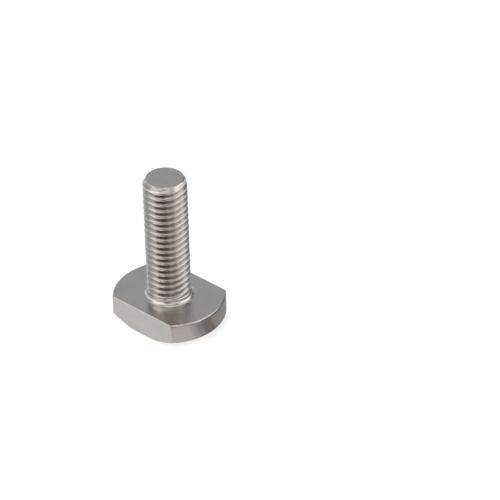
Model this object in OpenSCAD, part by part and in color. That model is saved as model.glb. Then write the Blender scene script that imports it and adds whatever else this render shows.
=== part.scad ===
// T slot bolt: a round head with two flats, which turns into a slot, on a shank threaded to the head.
// The bolt stands on its head. The origin is the middle of the head's back, +Z runs along the
// shank to its tip, and the two flats face -Y and +Y.

/* [Head] */
// Diameter of the round head
head_d = 20.5; // [17:0.5:26]
// Width of the head across its two flats
head_w = 14.7; // [10:0.1:16]
// Height of the head from its back to the clamping face
head_h = 5.2; // [4:0.1:8]
// Height of the straight rim, from the clamping face down to the cone of the back
rim_h = 3.8; // [2:0.05:5]
// Diameter of the flat circle that the cone leaves on the back
back_d = 15.4; // [10:0.1:16.5]
// Radius that rounds the edge of the clamping face round the rim
rim_edge_r = 0.35; // [0.1:0.05:0.8]
// Radius that rounds the edges of the clamping face along the two flats
flat_edge_r = 0.2; // [0.1:0.05:0.5]

/* [Shank] */
// Length of the shank from the clamping face to the tip
shank_l = 25; // [15:0.5:40]
// Length of the neck between the clamping face and the first trace of the thread
neck_l = 0.9; // [0.9:0.1:4]
// Difference between the nominal diameter of the thread and the diameter of the neck
neck_relief = 0.2; // [0.1:0.05:1]
// Radius of the fillet between the neck and the clamping face
fillet_r = 0.9; // [0.2:0.1:0.9]
// Length of the taper that leads a nut onto the tip
tip_taper_l = 1.1; // [0.3:0.1:2]
// Width of that taper, from the crests of the thread in to the tip's edge
tip_taper_w = 0.55; // [0.2:0.05:1]
// Height and width of the small chamfer that breaks the tip's edge
tip_edge = 0.1; // [0.05:0.05:0.2]

/* [Thread] */
// Nominal diameter of the thread
thread_d = 8; // [6:0.1:10]
// Distance between neighbouring turns of the thread
pitch = 1.25; // [1:0.05:1.5]
// Angle between the two flanks of a turn
flank_angle = 60; // [55:1:60]
// Clearance on the diameter that lets a nut run freely
thread_clearance = 0.05; // [0:0.01:0.25]
// Direction from the axis, turned from +X towards +Y, in which the thread runs out at the neck
run_out_angle = -96; // [-180:1:180]

/* [Hidden] */
steel = [0.72, 0.71, 0.7];
$fn = 96;

// Thread section: flat crest, straight flanks and flat root, measured along the axis
crest_w = pitch / 8;
root_w = pitch / 6;
flank_slope = tan(flank_angle / 2);
thread_depth = (pitch - crest_w - root_w) / 2 / flank_slope;
crest_r = (thread_d - thread_clearance) / 2;
root_r = crest_r - thread_depth;

// Neck, and the length over which the shank widens from it to the crests
neck_r = (thread_d - neck_relief) / 2;
neck_top = head_h + neck_l;
run_out_l = pitch;
tip_z = head_h + shank_l;

// Helix of the groove: where its middle starts and ends, and how its cutter is stepped and oversized
groove_start = neck_top;
groove_end = tip_z + pitch / 6;
steps_per_turn = 36;
groove_steps = floor((groove_end - groove_start) / pitch * steps_per_turn);
deepening_steps = steps_per_turn / 3;
fading_steps = steps_per_turn * 2 / 3;
cutter_overhang = 0.1;

// Half outline of the head: flat of the back, cone, rim and rounded edge of the clamping face
module head_outline() {
    polygon([
        [0, 0],
        [back_d / 2, 0],
        [head_d / 2, head_h - rim_h],
        [head_d / 2, head_h - rim_edge_r],
        [0, head_h - rim_edge_r],
    ]);
    translate([0, head_h - rim_h])
        square([head_d / 2 - rim_edge_r, rim_h]);
    translate([head_d / 2 - rim_edge_r, head_h - rim_edge_r])
        circle(rim_edge_r);
}

// Section of a bar as wide as the flats, with rounded edges at its top
module flats_section() {
    side = head_w / 2 - flat_edge_r;
    translate([-head_w / 2, 0])
        square([head_w, head_h - flat_edge_r]);
    translate([-side, 0])
        square([2 * side, head_h]);
    for (y = [-side, side])
        translate([y, head_h - flat_edge_r])
            circle(flat_edge_r);
}

// Round head cut to the two flats
module head() {
    intersection() {
        rotate_extrude()
            head_outline();
        rotate([90, 0, 90])
            linear_extrude(head_d, center = true)
                flats_section();
    }
}

// Half outline of the shank before threading: neck, run-out cone, crest and tapered tip
module blank_outline() {
    polygon([
        [0, head_h / 2],
        [neck_r, head_h / 2],
        [neck_r, neck_top],
        [crest_r, neck_top + run_out_l],
        [crest_r, tip_z - tip_taper_l],
        [crest_r - tip_taper_w, tip_z - tip_edge],
        [crest_r - tip_taper_w - tip_edge, tip_z],
        [0, tip_z],
    ]);
}

// Corner between the neck and the clamping face, hollowed to the fillet's radius
module fillet_outline() {
    difference() {
        translate([0, head_h / 2])
            square([neck_r + fillet_r, head_h / 2 + fillet_r]);
        translate([neck_r + fillet_r, head_h + fillet_r])
            circle(fillet_r);
    }
}

// Corners of the groove's section at one step of the helix. Lift draws the section out of its full
// depth along the upper flank, so that a shallow groove is narrow and keeps clear of the fillet.
function groove_ring(step, lift) =
    let (
        turn = run_out_angle + 360 * step / steps_per_turn,
        z = groove_start + pitch * step / steps_per_turn + lift * flank_slope,
        top_r = crest_r + cutter_overhang,
        floor_r = root_r + lift,
        top_w = root_w / 2 + (top_r - floor_r) * flank_slope,
        floor_w = root_w / 2
    )
    [
        for (corner = [[top_r, -top_w], [top_r, top_w], [floor_r, floor_w], [floor_r, -floor_w]])
            [corner.x * cos(turn), corner.x * sin(turn), z + corner.y],
    ];

// Helical cutter of the groove, which deepens along its first steps and fades along its last ones
module groove_cutter() {
    points = [
        for (step = [0:groove_steps])
            let (missing = max(0, 1 - step / deepening_steps, 1 - (groove_steps - step) / fading_steps))
                each groove_ring(step, thread_depth * missing),
    ];
    walls = [
        for (step = [0:groove_steps - 1], side = [0:3])
            let (a = 4 * step + side, b = 4 * step + (side + 1) % 4)
                each [[a, b, b + 4], [a, b + 4, a + 4]],
    ];
    last = 4 * groove_steps;
    polyhedron(points, [[3, 2, 1, 0], each walls, [last, last + 1, last + 2, last + 3]]);
}

// Shank with its fillet at the head and its thread
module shank() {
    difference() {
        rotate_extrude() {
            blank_outline();
            fillet_outline();
        }
        groove_cutter();
    }
}

module bolt() {
    color(steel) {
        head();
        shank();
    }
}

bolt();
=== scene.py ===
"""T slot bolt standing on its head: a fine mesh with a rolled thread, satin steel, a studio and a camera.

The bolt's sizes are in millimetres up to the point where its mesh is written, and in metres in the scene.
"""

import math

import bpy
import numpy as np
from mathutils import Matrix, Vector


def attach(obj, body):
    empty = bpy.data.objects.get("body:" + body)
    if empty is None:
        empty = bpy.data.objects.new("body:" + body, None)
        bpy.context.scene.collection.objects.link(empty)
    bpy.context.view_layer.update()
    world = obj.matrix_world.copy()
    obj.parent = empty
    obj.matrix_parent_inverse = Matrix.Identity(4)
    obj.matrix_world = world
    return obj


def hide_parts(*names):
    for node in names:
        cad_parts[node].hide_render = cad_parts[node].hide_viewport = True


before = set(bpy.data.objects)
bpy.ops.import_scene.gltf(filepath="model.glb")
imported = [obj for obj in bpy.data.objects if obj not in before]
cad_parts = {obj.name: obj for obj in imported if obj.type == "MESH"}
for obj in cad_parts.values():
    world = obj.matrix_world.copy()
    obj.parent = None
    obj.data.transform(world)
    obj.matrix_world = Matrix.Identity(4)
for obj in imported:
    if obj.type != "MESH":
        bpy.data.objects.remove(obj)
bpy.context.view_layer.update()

MM = 0.001

# Head
HEAD_R = 10.25
HEAD_HALF_W = 7.35
HEAD_H = 5.2
RIM_H = 3.8
BACK_R = 7.7
RIM_EDGE_R = 0.35
FLAT_EDGE_R = 0.2
CORNER_R = 0.28
LOWER_EDGE_R = 0.12
BACK_EDGE_SOFTNESS = 0.15

# Shank, with heights measured from the head's back
TIP_Z = 30.2
TIP_TAPER_L = 1.1
TIP_TAPER_W = 0.55
TIP_EDGE_R = 0.3
TAPER_SOFTNESS = 0.12
FILLET_R = 0.9
NECK_R = 3.9
NECK_TOP = HEAD_H + 0.9
RUN_OUT_L = 1.25
RUN_OUT_SOFTNESS = 0.06

# Thread, with the lengths over which its groove deepens and fades in turns
PITCH = 1.25
CREST_R = 4.0
CREST_W = PITCH / 8
CREST_SOFTNESS = 0.13
ROOT_W = PITCH / 6
HALF_FLANK_ANGLE = math.radians(30)
FLANK_SLOPE = math.tan(HALF_FLANK_ANGLE)
THREAD_DEPTH = (PITCH - CREST_W - ROOT_W) / 2 / FLANK_SLOPE
ROOT_R = CREST_R - THREAD_DEPTH
ROOT_ARC_R = ROOT_W / 2 / FLANK_SLOPE
ROOT_ARC_HALF_W = ROOT_ARC_R * math.cos(HALF_FLANK_ANGLE)
RUN_OUT_ANGLE = math.radians(-96)
GROOVE_START = NECK_TOP
GROOVE_TURNS = (TIP_Z - GROOVE_START) / PITCH + 1 / 6
GROOVE_DEEPENING = 0.36
GROOVE_FADING = 0.48

# Columns of the mesh round the axis
COLUMNS = 160
# Heights of the thread's rows over half a turn, closest together on the crest and in the root
HALF_ROWS = [0.0, 0.05, 0.1, 0.15, 0.22, 0.32, 0.42, 0.49, 0.54, 0.585]
# Turns of rows beyond the neck and beyond the tip, so that the slanting rows cover the whole shank
TURNS_BELOW = 4
TURNS_ABOVE = 3
# Gap between the level rings that end the thread's rows and the nearest points of the rows
ROW_MARGIN = 0.02
# Gap from a rounding to the ring beside it, which keeps the surface beyond flat
HOLD = 0.04
# Steps over each rounding and each plain surface
CORNER_STEPS = 4
EDGE_STEPS = 6
LOWER_EDGE_STEPS = 5
FILLET_STEPS = 10
FACE_STEPS = 10
WALL_STEPS = 7
# Radii of the rings on the tip's face and on the flat of the back
TIP_FACE_RINGS = (0.5, 1.0, 1.5, 2.0, 2.5, 2.9)
BACK_RINGS = (5.0, 3.0, 1.2)
# Radius where the rings of the back's cone end, just inside the flat, and their shares of the way there
CONE_END_R = BACK_R - 0.8
CONE_SHARES = (0.04, 0.2, 0.4, 0.6, 0.75, 0.85, 0.92, 1.0)
# Step in radians and in millimetres over which the shank's slopes are taken
SLOPE_STEP = 0.002

# Steel: the two colours between which it clouds, and how much clouds and streaks roughen it
STEEL_DARK = (0.58, 0.55, 0.528, 1)
STEEL_LIGHT = (0.615, 0.585, 0.56, 1)
CLOUD_ROUGHNESS = (0.215, 0.24)
STREAK_ROUGHNESS = (0.0, 0.03)
# Scale and detail of its noises, with the streaks drawn out along the axis by shrinking their heights
CLOUDS = (350, 3)
GRAIN = (6000, 2)
STREAKS = (2600, 2)
STREAK_STRETCH = (1, 1, 0.1)
# Part of a noise's range that is spread over a whole span
NOISE_RANGE = (0.3, 0.7)
# Depth of grain and streaks in metres, and how strongly they show
RELIEF_DEPTH = 0.000002
RELIEF_STRENGTH = 0.3

# Camera, with angles in degrees: where it looks from, how it is turned, how far off it stands in metres,
# and where the middle of the clamping face falls in the picture
VIEW_AZIMUTH = 44.313
VIEW_ELEVATION = 35.475
VIEW_ROLL = 2.410
VIEW_DISTANCE = 0.588
PICTURE = 500
FOCAL_PX = 3253.0
AIM_PX = (169.3, 293.0)
SENSOR_W = 36
NEAREST_SEEN = 0.05
FARTHEST_SEEN = 10

# Studio. Every azimuth is counted in degrees to the right from the camera's own.
# Point that lamps and cards face
AIM = Vector((0, 0, 0.015))
# Softboxes: name, azimuth, elevation, distance, width and height in metres, radiance
SOFTBOXES = [
    ("softbox_left", -60, 22, 0.34, (0.39, 0.28), 1.5),
    ("softbox_right", 84, 28, 0.34, (0.39, 0.20), 1.6),
    ("softbox_top", 0, 90, 0.34, (0.074, 0.074), 4.5),
]
# Cards that face the bolt: name, azimuth, elevation, distance, width and height in metres, radiance
CARDS = [
    ("card_back_high", 180, 54, 0.37, (0.40, 0.32), (0.45, 0.47, 0.49)),
    ("card_back_low", 180, 15, 0.38, (0.30, 0.20), (0.456, 0.463, 0.489)),
    ("card_back_left", -120, 32, 0.36, (0.38, 0.16), (0.4, 0.4, 0.39)),
    ("card_back_right", 135, 22, 0.36, (0.22, 0.30), (0.26, 0.265, 0.27)),
    ("card_top_front", 0, 68, 0.36, (0.50, 0.16), (0.333, 0.335, 0.33)),
    ("card_front_low", -10, 7, 0.37, (0.20, 0.12), (0, 0, 0)),
    ("card_front_right", 35, 30, 0.37, (0.16, 0.30), (0.66, 0.67, 0.68)),
]
# The steel mirrors these cards in place of the floor. Near the bolt and behind it, their levels are
# painted shade of the shadows on the floor. floor_left is painted light over the contact shadow on the
# bolt's left, and in front the cards make the floor darker.
# Cards on the floor: name, the two azimuths and the two distances from the axis in millimetres, radiance
FLOOR_CARDS = [
    ("floor_back", (145, 215), (11, 150), (0.06, 0.06, 0.06)),
    ("floor_left", (-100, 0), (8, 16), (0.79, 0.795, 0.8)),
    ("floor_back_left", (-145, -100), (14, 90), (0.2, 0.2, 0.2)),
    ("floor_front_left", (-65, 5), (18, 150), (0.065, 0.02, 0)),
    ("floor_front_right", (5, 45), (18, 150), (0.376, 0.334, 0.296)),
    ("floor_rim_front", (0, 28), (9.5, 18), (0.68, 0.65, 0.65)),
    ("floor_rim_soft", (28, 36), (9.5, 18), (0.5, 0.48, 0.48)),
    ("floor_rim_softer", (36, 44), (9.5, 18), (0.36, 0.34, 0.34)),
    ("floor_rim_middle", (44, 60), (9.5, 18), (0.244, 0.228, 0.226)),
    ("floor_rim_right", (60, 110), (9.5, 18), (0.371, 0.36, 0.36)),
    ("floor_rim_back", (110, 145), (9.5, 18), (0.12, 0.12, 0.12)),
]
FLOOR_CARD_Z = 0.5
# Upright cards in place of the photo's lying bolt: name, azimuths and distances of both ends, radiance
WALL_CARDS = [
    ("lying_bolt_tip", (44, 65), (17, 16.5), (0.25, 0.24, 0.235)),
    ("lying_bolt_side", (65, 111), (16.5, 22.5), (0.055, 0.055, 0.04)),
]
WALL_CARD_H = 8
# Floor, and how much it and the world glow for the camera, for reflections and for all other rays. The
# lamps bring the floor's glow up to white for the camera, and the shadow stays.
FLOOR_HALF_W = 0.6
FLOOR_COLOUR = (0.8, 0.8, 0.8, 1)
FLOOR_ROUGHNESS = 0.9
FLOOR_GLOW = (0.56, 0.3, 0.0)
WORLD_GLOW = (1.0, 1.0, 0.4)
WHITE = (1, 1, 1, 1)


def soft_min(a, b, reach):
    """Smaller of two values, rounded off where they are closer than reach."""
    return np.minimum(a, b) - np.maximum(reach - np.abs(a - b), 0) ** 2 / (4 * reach)


def soft_max(a, b, reach):
    """Larger of two values, rounded off in the same way."""
    return -soft_min(-a, -b, reach)


def smooth_step(x):
    """Smooth rise from 0 to 1 while x goes from 0 to 1."""
    x = np.clip(x, 0, 1)
    return x * x * (3 - 2 * x)


def envelope(z):
    """Radius over the crests: neck, run-out, full thread and the taper of the tip."""
    widening = (z - NECK_TOP) / RUN_OUT_L * (CREST_R - NECK_R)
    run_out = NECK_R + soft_max(0 * z, widening, RUN_OUT_SOFTNESS)
    taper = CREST_R - (z - TIP_Z + TIP_TAPER_L) * TIP_TAPER_W / TIP_TAPER_L
    return soft_min(soft_min(run_out, CREST_R + 0 * z, RUN_OUT_SOFTNESS), taper, TAPER_SOFTNESS)


def shank_radius(angle, z):
    """Radius of the threaded shank at an angle from +X towards +Y and a height."""
    turns = np.mod(angle - RUN_OUT_ANGLE, 2 * math.pi) / (2 * math.pi)
    whole = np.maximum(np.round((z - GROOVE_START) / PITCH - turns), 0)
    along = turns + whole
    lift = THREAD_DEPTH * (1 - smooth_step(along / GROOVE_DEEPENING))
    off = np.abs(z - GROOVE_START - PITCH * along - lift * FLANK_SLOPE)
    root = ROOT_R + ROOT_ARC_R - np.sqrt(ROOT_ARC_R**2 - np.minimum(off, ROOT_ARC_HALF_W) ** 2)
    groove = np.where(off < ROOT_ARC_HALF_W, root, ROOT_R - ROOT_ARC_R + off / FLANK_SLOPE)
    fade = THREAD_DEPTH * smooth_step((along - GROOVE_TURNS) / GROOVE_FADING + 1)
    return soft_min(groove + np.maximum(lift, fade), envelope(z), CREST_SOFTNESS)


def shank_normals(angle, z):
    """Outward normals of the shank, from the slopes of its radius."""
    step = SLOPE_STEP
    radius = shank_radius(angle, z)
    by_angle = (shank_radius(angle + step, z) - shank_radius(angle - step, z)) / (2 * step)
    by_z = (shank_radius(angle, z + step) - shank_radius(angle, z - step)) / (2 * step)
    c, s = np.cos(angle), np.sin(angle)
    normals = np.stack([c * radius + s * by_angle, s * radius - c * by_angle, -radius * by_z], -1)
    return normals / np.linalg.norm(normals, axis=-1, keepdims=True)


def head_outline():
    """Head seen along the axis, column by column: points, outward normals and radii of the edge."""
    inner_r = HEAD_R - CORNER_R
    centre_y = HEAD_HALF_W - CORNER_R
    centre = np.array([math.sqrt(inner_r**2 - centre_y**2), centre_y])
    start = math.atan2(centre[1], centre[0])
    side = (COLUMNS // 4 - CORNER_STEPS) // 2
    points, normals = [], []
    for angle in np.linspace(0, start, side + 1):
        normals.append(np.array([math.cos(angle), math.sin(angle)]))
        points.append(normals[-1] * HEAD_R)
    for angle in np.linspace(start, math.pi / 2, CORNER_STEPS + 1)[1:]:
        normals.append(np.array([math.cos(angle), math.sin(angle)]))
        points.append(centre + normals[-1] * CORNER_R)
    for x in np.linspace(centre[0], 0, side + 1)[1:]:
        normals.append(np.array([0.0, 1.0]))
        points.append(np.array([x, HEAD_HALF_W]))
    corner_radii = np.linspace(CORNER_R, FLAT_EDGE_R, CORNER_STEPS + 1)
    radii = np.concatenate([[RIM_EDGE_R] * side, corner_radii, [FLAT_EDGE_R] * side])
    whole = []
    for quarter in (np.array(points), np.array(normals)):
        half = np.concatenate([quarter[:-1], quarter[:0:-1] * [-1, 1]])
        whole.append(np.concatenate([half, -half]))
    half = np.concatenate([radii[:-1], radii[:0:-1]])
    whole.append(np.concatenate([half, half]))
    return whole


angles = np.arange(COLUMNS) * 2 * math.pi / COLUMNS
outline, outline_normals, edge_radii = head_outline()
outline_lengths = np.linalg.norm(outline, axis=1)


def rounded(a, b, c, steps):
    """Rings from a to c that round the corner b, without a and with c."""
    rings = []
    for t in np.linspace(0, 1, steps + 1)[1:]:
        rings.append((1 - t) ** 2 * a + 2 * t * (1 - t) * b + t * t * c)
    return rings


def back_height(radius):
    """Height of the head's back, a flat circle inside a cone, with a soft edge between them."""
    cone = (radius - BACK_R) * (HEAD_H - RIM_H) / (HEAD_R - BACK_R)
    return soft_max(0 * radius, cone, BACK_EDGE_SOFTNESS)


def circle(radius, z):
    """Ring of points on the shank's columns."""
    radius = radius + 0 * angles
    return np.stack([radius * np.cos(angles), radius * np.sin(angles), z + 0 * angles], -1)


def head_ring(inset, z):
    """Ring of points on the head's outline, moved inwards by inset."""
    flat = outline - outline_normals * (inset + 0 * angles)[:, None]
    return np.column_stack([flat, z + 0 * angles])


def back_ring(radius):
    """Ring of points on the head's back, at a radius along the outline's own directions."""
    radius = radius + 0 * outline_lengths
    flat = outline * (radius / outline_lengths)[:, None]
    return np.column_stack([flat, back_height(radius)])


def tip_rings():
    """Rings from the middle of the tip's face to the top of the thread, and the height there."""
    corner_r = CREST_R - TIP_TAPER_W
    face_r = corner_r - TIP_EDGE_R
    high_z = TIP_Z - TIP_EDGE_R
    rings = [circle(radius, TIP_Z) for radius in (*TIP_FACE_RINGS, face_r - HOLD, face_r)]
    side = circle(shank_radius(angles, high_z), high_z)
    rings += rounded(rings[-1], circle(corner_r, TIP_Z), side, EDGE_STEPS)
    return rings, high_z


def fillet_rings():
    """Rings from the neck down the fillet to the clamping face."""
    rings = []
    for turn in np.linspace(0, math.pi / 2, FILLET_STEPS + 1):
        radius = NECK_R + FILLET_R * (1 - math.cos(turn))
        rings.append(circle(radius, HEAD_H + FILLET_R - FILLET_R * math.sin(turn)))
    return rings


def head_rings():
    """Rings from the fillet over the clamping face, rim and back to the middle of the back."""
    face_start = circle(NECK_R + FILLET_R + HOLD, HEAD_H)
    face_end = head_ring(edge_radii + HOLD, HEAD_H)
    rings = []
    for share in np.linspace(0, 1, FACE_STEPS + 1):
        rings.append(face_start * (1 - share) + face_end * share)
    edge = head_ring(edge_radii, HEAD_H)
    rings.append(edge)
    rings += rounded(edge, head_ring(0, HEAD_H), head_ring(0, HEAD_H - edge_radii), EDGE_STEPS)
    foot = back_height(outline_lengths)
    wall_low = foot + LOWER_EDGE_R
    wall_high = HEAD_H - edge_radii
    for share in np.linspace(0, 1, WALL_STEPS + 1):
        rings.append(head_ring(0, (wall_high - HOLD) * (1 - share) + (wall_low + HOLD) * share))
    rings.append(head_ring(0, wall_low))
    cone_start = outline_lengths - LOWER_EDGE_R
    rings += rounded(rings[-1], head_ring(0, foot), back_ring(cone_start), LOWER_EDGE_STEPS)
    for share in CONE_SHARES:
        rings.append(back_ring(cone_start * (1 - share) + CONE_END_R * share))
    rings += [back_ring(radius) for radius in BACK_RINGS]
    return rings


class RingMesh:
    """Points and faces of a mesh that is built ring by ring, from the top down."""

    def __init__(self):
        self.points = []
        self.faces = []
        self.count = 0

    def add(self, points):
        """Adds points and returns their numbers."""
        self.points.append(points)
        self.count += len(points)
        return np.arange(self.count - len(points), self.count)

    def cap(self, centre, ring):
        """Closes a ring with triangles round a middle point."""
        for a, b in zip(ring, np.roll(ring, -1)):
            self.faces.append((centre, a, b))

    def hang(self, above, rings):
        """Hangs rings one below the other under a ring, and returns the numbers of the last one."""
        for points in rings:
            below = self.add(points)
            for a, b, c, d in zip(below, np.roll(below, -1), np.roll(above, -1), above):
                self.faces.append((a, b, c, d))
            above = below
        return above


def add_thread(mesh, low, low_z, high, high_z):
    """Adds the thread between two level rings, and returns its points' numbers, angles and heights.

    Its rows follow the helix, and end on the level rings below and above.
    """
    offsets = np.array(HALF_ROWS + [PITCH / 2] + [PITCH - height for height in HALF_ROWS[:0:-1]])
    zero_angle_z = GROOVE_START - PITCH * RUN_OUT_ANGLE / (2 * math.pi)
    last_turn = int((TIP_Z - GROOVE_START) / PITCH) + TURNS_ABOVE
    turns = range(-TURNS_BELOW, last_turn)
    row_z = np.concatenate([zero_angle_z + PITCH * turn + offsets for turn in turns])
    grid_z = row_z[:, None] + PITCH * np.arange(COLUMNS) / COLUMNS
    inside = (grid_z > low_z + ROW_MARGIN) & (grid_z < high_z - ROW_MARGIN)
    grid_angles = np.broadcast_to(angles, grid_z.shape)[inside]
    heights = grid_z[inside]
    radii = shank_radius(grid_angles, heights)
    new = mesh.add(np.stack([radii * np.cos(grid_angles), radii * np.sin(grid_angles), heights], -1))
    ids = np.where(grid_z <= low_z + ROW_MARGIN, low, high)
    ids[inside] = new
    # After one turn a row goes on as the row one pitch further up
    ids = np.column_stack([ids[:-len(offsets)], ids[len(offsets):, 0]])
    for row, next_row in zip(ids[:-1], ids[1:]):
        for i in range(COLUMNS):
            corners = dict.fromkeys((row[i], row[i + 1], next_row[i + 1], next_row[i]))
            if len(corners) > 2:
                mesh.faces.append(tuple(corners))
    return new, grid_angles, heights


def bolt_mesh():
    """Points and faces of the whole bolt, and the numbers and exact normals of the shank's points."""
    mesh = RingMesh()
    tip = mesh.add(np.array([[0, 0, TIP_Z]]))[0]
    rings, high_z = tip_rings()
    first = mesh.add(rings[0])
    mesh.cap(tip, first)
    high = mesh.hang(first, rings[1:])
    low_z = NECK_TOP + HOLD
    low = mesh.add(circle(shank_radius(angles, low_z), low_z))
    new, grid_angles, heights = add_thread(mesh, low, low_z, high, high_z)
    last = mesh.hang(low, fillet_rings() + head_rings())
    bottom = mesh.add(np.array([[0, 0, 0]]))[0]
    mesh.cap(bottom, last[::-1])
    shank_ids = np.concatenate([low, new, high])
    shank_angles = np.concatenate([angles, grid_angles, angles])
    shank_z = np.concatenate([low_z + 0 * angles, heights, high_z + 0 * angles])
    return np.concatenate(mesh.points), mesh.faces, shank_ids, shank_normals(shank_angles, shank_z)


def make_bolt():
    """The bolt's piece, which replaces the CAD solid."""
    points, faces, shank_ids, exact_normals = bolt_mesh()
    mesh = bpy.data.meshes.new("bolt_steel")
    mesh.from_pydata(points * MM, [], faces)
    mesh.validate()
    mesh.shade_smooth()
    normals = np.zeros(len(points) * 3, np.float32)
    mesh.vertex_normals.foreach_get("vector", normals)
    normals = normals.reshape(-1, 3)
    normals[shank_ids] = exact_normals
    mesh.normals_split_custom_set_from_vertices([tuple(normal) for normal in normals])
    mesh.materials.append(steel())
    piece = bpy.data.objects.new("bolt_steel", mesh)
    bpy.context.scene.collection.objects.link(piece)
    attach(piece, "root")
    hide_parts("bolt")


def new_material(name):
    """New material with its nodes and links."""
    material = bpy.data.materials.new(name)
    material.use_nodes = True
    return material, material.node_tree.nodes, material.node_tree.links


def steel():
    """Satin stainless steel with faint clouding, fine grain and streaks."""
    material, nodes, links = new_material("satin_steel")
    shader = nodes["Principled BSDF"]
    shader.inputs["Metallic"].default_value = 1.0
    place = nodes.new("ShaderNodeTexCoord")

    def noise(scale, detail, stretch=(1, 1, 1)):
        mapping = nodes.new("ShaderNodeMapping")
        mapping.inputs["Scale"].default_value = stretch
        links.new(place.outputs["Object"], mapping.inputs["Vector"])
        texture = nodes.new("ShaderNodeTexNoise")
        texture.inputs["Scale"].default_value = scale
        texture.inputs["Detail"].default_value = detail
        links.new(mapping.outputs["Vector"], texture.inputs["Vector"])
        return texture.outputs["Fac"]

    def spread(source, low, high):
        span = nodes.new("ShaderNodeMapRange")
        span.inputs["From Min"].default_value = NOISE_RANGE[0]
        span.inputs["From Max"].default_value = NOISE_RANGE[1]
        span.inputs["To Min"].default_value = low
        span.inputs["To Max"].default_value = high
        links.new(source, span.inputs["Value"])
        return span.outputs["Result"]

    def total(a, b):
        adding = nodes.new("ShaderNodeMath")
        adding.operation = "ADD"
        links.new(a, adding.inputs[0])
        links.new(b, adding.inputs[1])
        return adding.outputs[0]

    clouds = noise(*CLOUDS)
    grain = noise(*GRAIN)
    streaks = noise(*STREAKS, STREAK_STRETCH)
    colour = nodes.new("ShaderNodeMix")
    colour.data_type = "RGBA"
    colour.inputs["A"].default_value = STEEL_DARK
    colour.inputs["B"].default_value = STEEL_LIGHT
    links.new(spread(clouds, 0, 1), colour.inputs["Factor"])
    links.new(colour.outputs["Result"], shader.inputs["Base Color"])
    rough = total(spread(clouds, *CLOUD_ROUGHNESS), spread(streaks, *STREAK_ROUGHNESS))
    links.new(rough, shader.inputs["Roughness"])
    bump = nodes.new("ShaderNodeBump")
    bump.inputs["Strength"].default_value = RELIEF_STRENGTH
    bump.inputs["Distance"].default_value = RELIEF_DEPTH
    links.new(total(grain, streaks), bump.inputs["Height"])
    links.new(bump.outputs["Normal"], shader.inputs["Normal"])
    return material


def direction(azimuth, elevation):
    """Unit vector away from the bolt, with the azimuth counted in degrees from the camera's own."""
    a = math.radians(VIEW_AZIMUTH + azimuth)
    e = math.radians(elevation)
    return Vector((math.sin(a) * math.cos(e), -math.cos(a) * math.cos(e), math.sin(e)))


def make_camera():
    """Camera turned so that the middle of the clamping face falls where the photo has it."""
    toward = direction(0, VIEW_ELEVATION)
    right = direction(90, 0)
    up = toward.cross(right)
    roll = math.radians(VIEW_ROLL)
    x_axis = right * math.cos(roll) - up * math.sin(roll)
    y_axis = right * math.sin(roll) + up * math.cos(roll)
    turned = Matrix((x_axis, y_axis, toward)).transposed()
    off = Vector((AIM_PX[0] - PICTURE / 2, PICTURE / 2 - AIM_PX[1], -FOCAL_PX)).normalized()
    aimed = turned @ off.rotation_difference(Vector((0, 0, -1))).to_matrix()
    data = bpy.data.cameras.new("camera")
    data.sensor_width = SENSOR_W
    data.lens = SENSOR_W * FOCAL_PX / PICTURE
    data.clip_start = NEAREST_SEEN
    data.clip_end = FARTHEST_SEEN
    camera = bpy.data.objects.new("camera", data)
    place = Vector((0, 0, HEAD_H * MM)) + toward * VIEW_DISTANCE
    camera.matrix_world = Matrix.Translation(place) @ aimed.to_4x4()
    bpy.context.scene.collection.objects.link(camera)
    bpy.context.scene.camera = camera


def flat_piece(name, corners, material):
    """Flat stage piece with four corners."""
    mesh = bpy.data.meshes.new(name)
    mesh.from_pydata(corners, [], [(0, 1, 2, 3)])
    mesh.materials.append(material)
    piece = bpy.data.objects.new(name, mesh)
    bpy.context.scene.collection.objects.link(piece)
    return piece


def plain_glow(name, radiance):
    """Material that glows evenly, and that lights nothing but what mirrors it."""
    material, nodes, links = new_material(name)
    nodes.clear()
    glow = nodes.new("ShaderNodeEmission")
    glow.inputs["Color"].default_value = (*radiance, 1)
    out = nodes.new("ShaderNodeOutputMaterial")
    links.new(glow.outputs[0], out.inputs["Surface"])
    material.cycles.emission_sampling = "NONE"
    return material


def mirrored_card(name, corners, radiance):
    """Studio card that is seen only as a reflection in the steel."""
    piece = flat_piece(name, corners, plain_glow(name, radiance))
    piece.visible_camera = False
    piece.visible_diffuse = False
    piece.visible_shadow = False
    piece.visible_transmission = False
    return piece


def face_bolt(thing, azimuth, elevation, distance):
    """Places a lamp or card round the bolt, square to the line to it."""
    back = direction(azimuth, elevation)
    thing.location = AIM + back * distance
    thing.rotation_mode = "QUATERNION"
    thing.rotation_quaternion = back.to_track_quat("Z", "Y")


def card(name, azimuth, elevation, distance, size, radiance):
    """Card that faces the bolt."""
    w, h = size[0] / 2, size[1] / 2
    piece = mirrored_card(name, [(-w, -h, 0), (w, -h, 0), (w, h, 0), (-w, h, 0)], radiance)
    face_bolt(piece, azimuth, elevation, distance)


def softbox(name, azimuth, elevation, distance, size, radiance):
    """Area lamp that lights the floor, and a card of the same radiance that the steel mirrors for it."""
    data = bpy.data.lights.new(name, "AREA")
    data.shape = "RECTANGLE"
    data.size, data.size_y = size
    data.energy = radiance * math.pi * size[0] * size[1]
    lamp = bpy.data.objects.new(name, data)
    face_bolt(lamp, azimuth, elevation, distance)
    lamp.visible_glossy = False
    bpy.context.scene.collection.objects.link(lamp)
    card(name + "_face", azimuth, elevation, distance, size, (radiance, radiance, radiance))


def on_floor(azimuth, radius, height):
    """Point round the bolt's axis, from a distance and a height in millimetres."""
    return direction(azimuth, 0) * radius * MM + Vector((0, 0, height * MM))


def floor_card(name, azimuths, radii, radiance):
    """Card just above the floor, with corners at two azimuths and two distances from the axis."""
    spots = ((0, 0), (1, 0), (1, 1), (0, 1))
    corners = [on_floor(azimuths[a], radii[r], FLOOR_CARD_Z) for a, r in spots]
    mirrored_card(name, corners, radiance)


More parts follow.
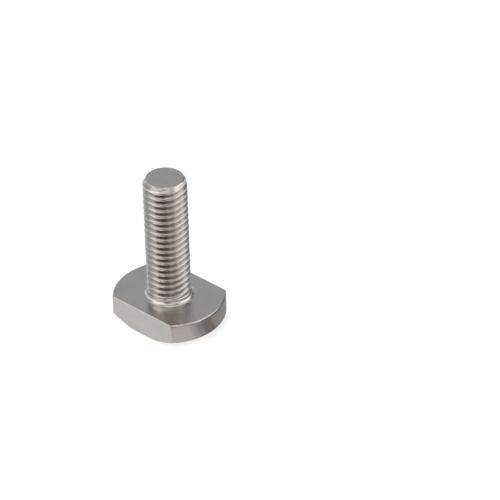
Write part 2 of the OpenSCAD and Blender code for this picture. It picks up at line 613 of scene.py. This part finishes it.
def wall_card(name, azimuths, radii, radiance):
    """Upright card on the floor, from one azimuth and distance to another."""
    spots = ((0, 0), (1, 0), (1, WALL_CARD_H), (0, WALL_CARD_H))
    corners = [on_floor(azimuths[end], radii[end], height) for end, height in spots]
    mirrored_card(name, corners, radiance)


def seen_level(nodes, links, levels):
    """Level that differs for the camera, for reflections and for all other rays, in this order."""
    camera, reflected, other = levels
    path = nodes.new("ShaderNodeLightPath")
    level = nodes.new("ShaderNodeValue").outputs[0]
    level.default_value = other
    rays = {"Is Transmission Ray": reflected, "Is Glossy Ray": reflected, "Is Camera Ray": camera}
    for ray, value in rays.items():
        choice = nodes.new("ShaderNodeMix")
        choice.inputs["B"].default_value = value
        links.new(path.outputs[ray], choice.inputs["Factor"])
        links.new(level, choice.inputs["A"])
        level = choice.outputs["Result"]
    return level


def make_floor():
    """Plain pale floor, white to the camera but for the bolt's shadow."""
    material, nodes, links = new_material("white_paper")
    shader = nodes["Principled BSDF"]
    shader.inputs["Base Color"].default_value = FLOOR_COLOUR
    shader.inputs["Roughness"].default_value = FLOOR_ROUGHNESS
    shader.inputs["Specular IOR Level"].default_value = 0.0
    shader.inputs["Emission Color"].default_value = WHITE
    links.new(seen_level(nodes, links, FLOOR_GLOW), shader.inputs["Emission Strength"])
    material.cycles.emission_sampling = "NONE"
    w = FLOOR_HALF_W
    flat_piece("floor", [(-w, -w, 0), (w, -w, 0), (w, w, 0), (-w, w, 0)], material)


def make_world():
    """White surroundings, which light the floor less than they show."""
    world = bpy.data.worlds.new("studio")
    bpy.context.scene.world = world
    world.use_nodes = True
    nodes, links = world.node_tree.nodes, world.node_tree.links
    background = nodes["Background"]
    background.inputs["Color"].default_value = WHITE
    links.new(seen_level(nodes, links, WORLD_GLOW), background.inputs["Strength"])
    world.cycles.sampling_method = "NONE"


make_bolt()
make_camera()
make_floor()
make_world()
for row in SOFTBOXES:
    softbox(*row)
for row in CARDS:
    card(*row)
for row in FLOOR_CARDS:
    floor_card(*row)
for row in WALL_CARDS:
    wall_card(*row)

bpy.context.scene.view_settings.view_transform = "Standard"
